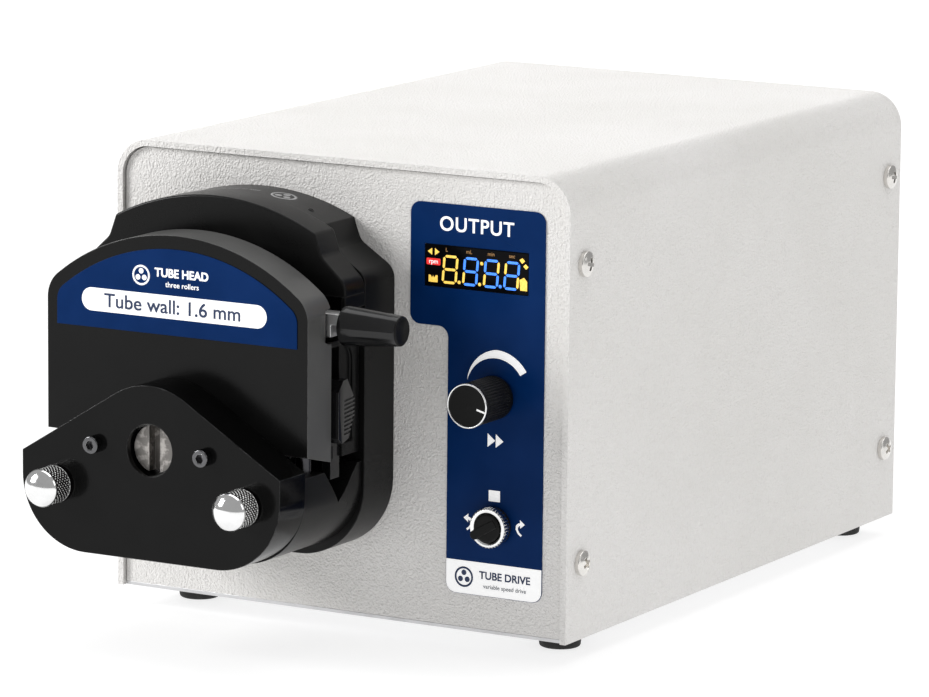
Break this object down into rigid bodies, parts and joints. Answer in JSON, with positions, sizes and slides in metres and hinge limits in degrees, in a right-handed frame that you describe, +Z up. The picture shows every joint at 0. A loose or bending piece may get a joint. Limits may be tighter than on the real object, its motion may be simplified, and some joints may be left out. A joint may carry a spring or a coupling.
{
  "type": "peristaltic pump",
  "caption": "Bench peristaltic pump: sheet-metal drive cabinet with display and knobs, and a black pump head with rollers, lifting block and lever.",
  "frame": {"origin": "middle of the bounding box in plan, on the surface that the rubber feet stand on", "axes": "+Z up; -Y is the front with the control panel and pump head; +X is to the right as seen from the front"},
  "size_m": [0.17, 0.3165, 0.1528],
  "materials": {
    "cabinet_paint": "fine leather-grain powder coat",
    "plated_sheet": "zinc plated",
    "nickel_screw": "nickel plated",
    "foot_rubber": "matt",
    "label_film": "printed film, satin",
    "window_plastic": "smoked, polished",
    "board": "lacquered circuit board",
    "brass": "turned",
    "switch_plastic": "moulded",
    "knob_plastic": "moulded, fine knurl",
    "bright_ring": "bright nickel",
    "motor_aluminium": "cast, machined faces",
    "motor_steel": "blackened laminations",
    "socket_shell": "tin plated",
    "head_plastic": "satin moulded engineering plastic",
    "ground_steel": "ground",
    "roller_steel": "fine ground stainless",
    "rotor_aluminium": "anodised",
    "grip_plastic": "polished",
    "rocker_plastic": "moulded"
  },
  "bodies": {
    "root": {"top_cover": "cabinet_paint", "chassis_base": "plated_sheet", "front_panel": "cabinet_paint", "rear_panel": "cabinet_paint", "cover_screws": "nickel_screw", "rubber_feet": "foot_rubber", "control_label": "label_film", "display_window": "window_plastic", "display_module": "board", "control_board": "board", "board_standoffs": "brass", "encoder_body": "switch_plastic", "selector_body": "switch_plastic", "selector_bezel": "bright_ring", "motor_plate": "motor_aluminium", "motor_front_cap": "motor_aluminium", "motor_stack": "motor_steel", "motor_rear_cap": "motor_aluminium", "motor_screws": "nickel_screw", "head_mount_screws": "nickel_screw", "power_supply": "board", "power_inlet": "switch_plastic", "rocker_frame": "switch_plastic", "data_socket": "socket_shell", "fan_frame": "switch_plastic", "rear_screws": "nickel_screw", "head_base_plate": "head_plastic", "arch_frame": "head_plastic", "lower_body": "head_plastic", "front_plate": "head_plastic", "plate_screws": "nickel_screw", "bearing_retainer": "ground_steel", "front_bearing": "ground_steel", "rear_bearing": "ground_steel", "guide_rods": "ground_steel", "cam_pin": "ground_steel"},
    "block": {"block_cover": "head_plastic", "occlusion_bed": "head_plastic", "head_label": "label_film"},
    "lever": {"lever_arm": "ground_steel", "lever_shaft": "ground_steel", "cam_disc": "ground_steel", "lever_grip": "grip_plastic"},
    "left_retainer": {"left_tube_retainer": "head_plastic"},
    "right_retainer": {"right_tube_retainer": "head_plastic"},
    "rotor": {"rotor_shaft": "ground_steel", "rotor_discs": "rotor_aluminium", "roller_axles": "ground_steel", "drive_coupling": "ground_steel", "motor_shaft": "ground_steel"},
    "roller_a": {"roller_1": "roller_steel"},
    "roller_b": {"roller_2": "roller_steel"},
    "roller_c": {"roller_3": "roller_steel"},
    "knob": {"speed_knob": "knob_plastic", "encoder_shaft": "ground_steel"},
    "selector": {"selector_knob": "knob_plastic"},
    "rocker": {"power_rocker": "rocker_plastic"},
    "fan": {"fan_rotor": "switch_plastic"},
    "left_thumb": {"left_thumb_screw": "bright_ring"},
    "right_thumb": {"right_thumb_screw": "bright_ring"}
  },
  "joints": [
    {"name": "rotor_spin", "type": "hinge", "parent": "root", "child": "rotor", "pos_m": [-0.0282, -0.11025, 0.0676], "axis": [0, -1, 0], "continuous": true},
    {"name": "roller_1_spin", "type": "hinge", "parent": "rotor", "child": "roller_a", "pos_m": [-0.0282, -0.11025, 0.0846], "axis": [0, -1, 0], "continuous": true},
    {"name": "roller_2_spin", "type": "hinge", "parent": "rotor", "child": "roller_b", "pos_m": [-0.01348, -0.11025, 0.0591], "axis": [0, -1, 0], "continuous": true},
    {"name": "roller_3_spin", "type": "hinge", "parent": "rotor", "child": "roller_c", "pos_m": [-0.04292, -0.11025, 0.0591], "axis": [0, -1, 0], "continuous": true},
    {"name": "block_lift", "type": "slide", "parent": "root", "child": "block", "axis": [0, 0, 1], "range_m": [0, 0.012]},
    {"name": "lever_turn", "type": "hinge", "parent": "block", "child": "lever", "pos_m": [-0.0282, -0.11325, 0.1066], "axis": [0, -1, 0], "range_deg": [0, 180]},
    {"name": "left_retainer_slide", "type": "slide", "parent": "block", "child": "left_retainer", "axis": [0, 0, 1], "range_m": [0, 0.0085]},
    {"name": "right_retainer_slide", "type": "slide", "parent": "block", "child": "right_retainer", "axis": [0, 0, 1], "range_m": [0, 0.0085]},
    {"name": "speed_knob_turn", "type": "hinge", "parent": "root", "child": "knob", "pos_m": [0.0562, -0.08875, 0.0823], "axis": [0, -1, 0], "continuous": true},
    {"name": "selector_turn", "type": "hinge", "parent": "root", "child": "selector", "pos_m": [0.0562, -0.08075, 0.0415], "axis": [0, -1, 0], "range_deg": [0, 120]},
    {"name": "power_rocker_tilt", "type": "hinge", "parent": "root", "child": "rocker", "pos_m": [0.048, 0.14975, 0.0768], "axis": [1, 0, 0], "range_deg": [0, 14]},
    {"name": "fan_spin", "type": "hinge", "parent": "root", "child": "fan", "pos_m": [-0.038, 0.14425, 0.0988], "axis": [0, -1, 0], "continuous": true},
    {"name": "left_thumb_turn", "type": "hinge", "parent": "root", "child": "left_thumb", "pos_m": [-0.0624, -0.15275, 0.0536], "axis": [0, -1, 0], "continuous": true},
    {"name": "right_thumb_turn", "type": "hinge", "parent": "root", "child": "right_thumb", "pos_m": [0.006, -0.15275, 0.0536], "axis": [0, -1, 0], "continuous": true}
  ],
  "couplings": [
    {"joint": "lever_turn", "follows": "block_lift", "rad_per_m": 261.8}
  ]
}
